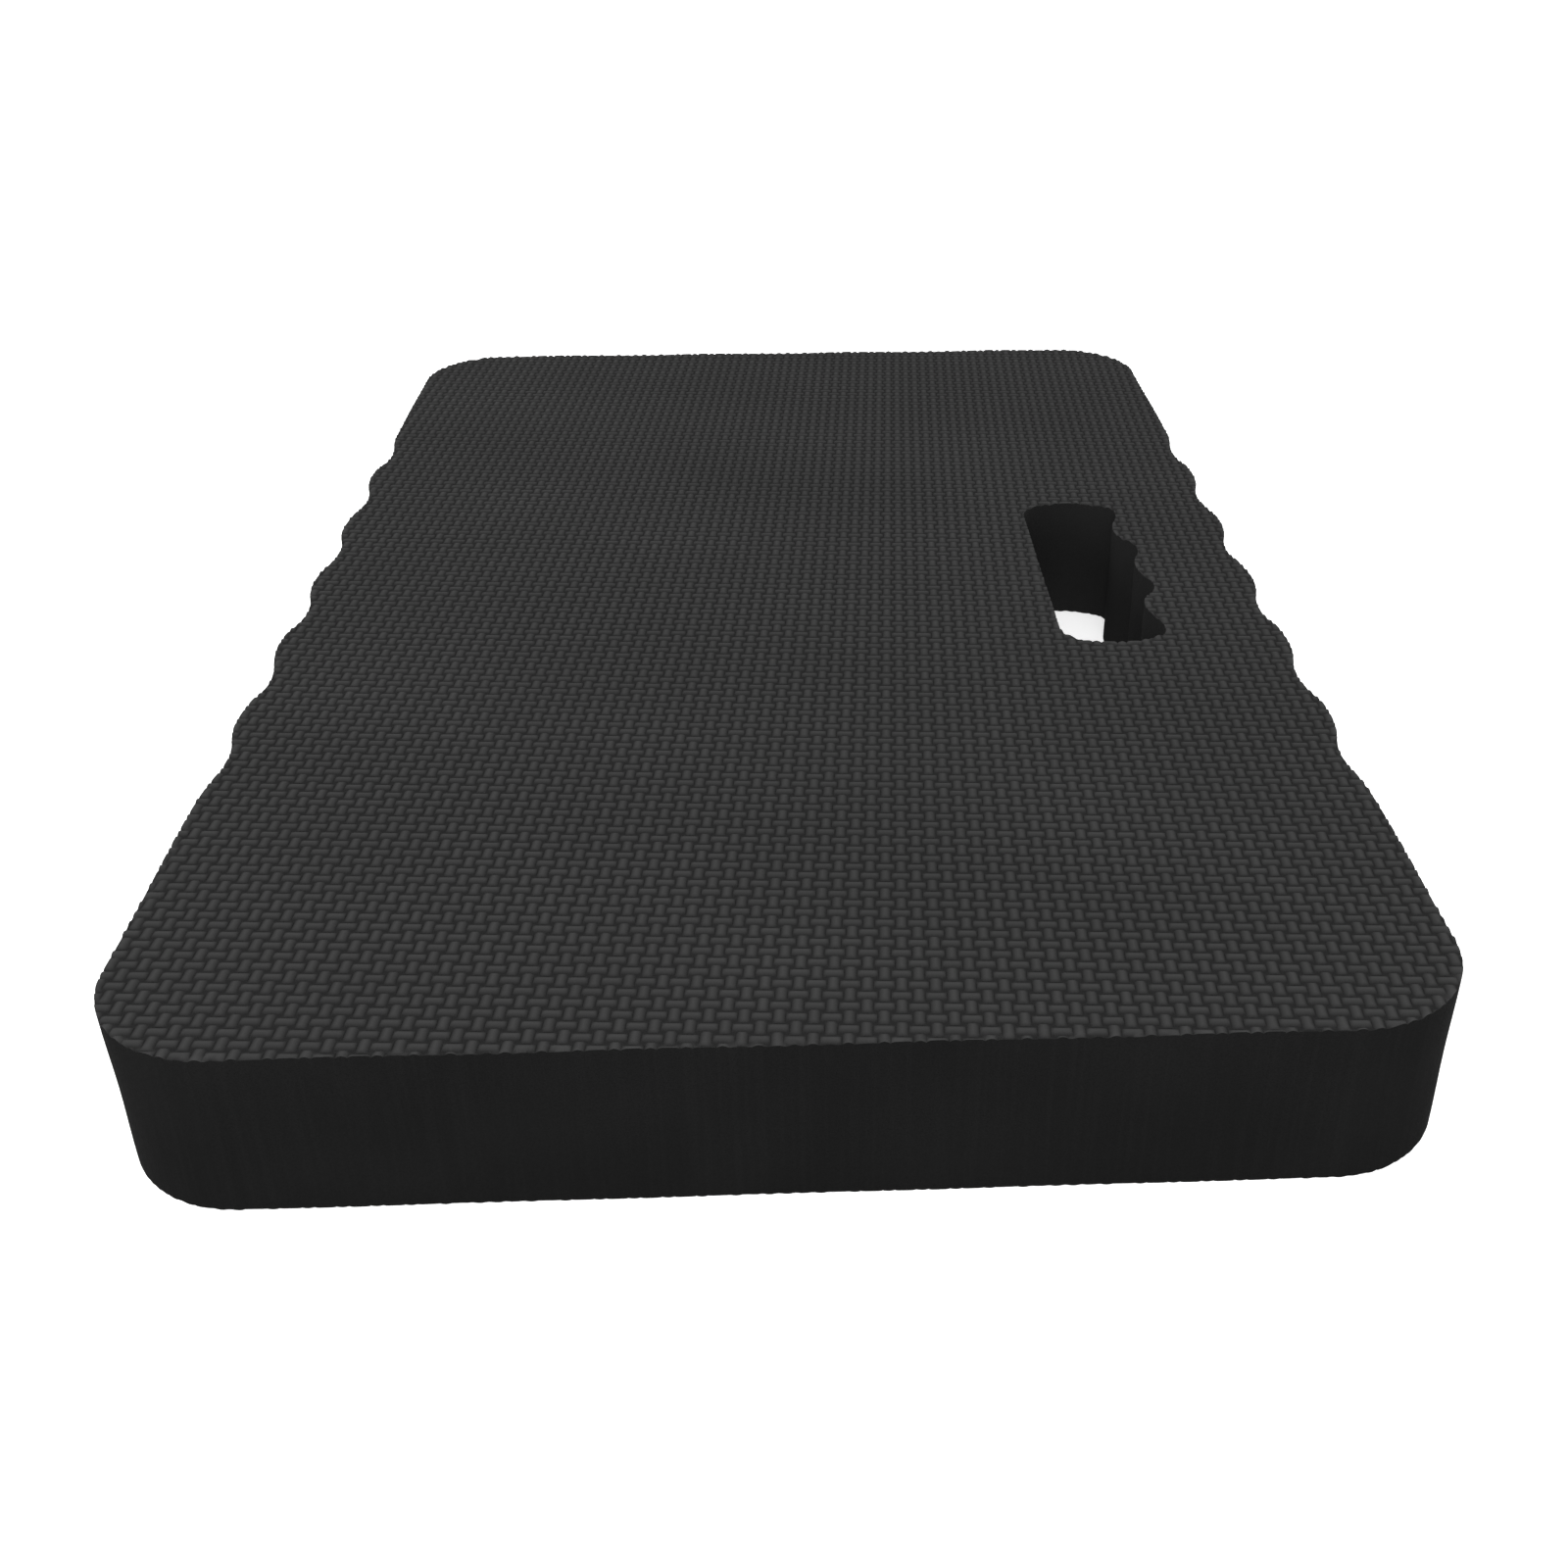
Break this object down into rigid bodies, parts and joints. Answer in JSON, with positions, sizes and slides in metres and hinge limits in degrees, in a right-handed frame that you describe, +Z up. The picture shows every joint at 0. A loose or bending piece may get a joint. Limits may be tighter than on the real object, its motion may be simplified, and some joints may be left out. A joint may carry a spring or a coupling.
{
  "type": "foam kneeling pad",
  "caption": "Thick rectangular foam kneeling pad with rounded corners, scalloped long sides, an embossed basket weave on both faces and a finger-grip hand slot.",
  "frame": {"origin": "centre of the underside, where the pad rests", "axes": "+Z up out of the kneeling face, +Y along the pad's length, +X across its width towards the hand slot"},
  "size_m": [0.2816, 0.43, 0.04],
  "materials": {
    "embossed_skin": "closed-cell foam with a heat-pressed satin skin, embossed with a fine basket weave",
    "cut_foam": "closed-cell foam, knife-cut and matt, with fine open pores"
  },
  "bodies": {
    "root": {"top_sheet": "embossed_skin", "core": "cut_foam", "bottom_sheet": "embossed_skin"}
  },
  "joints": []
}
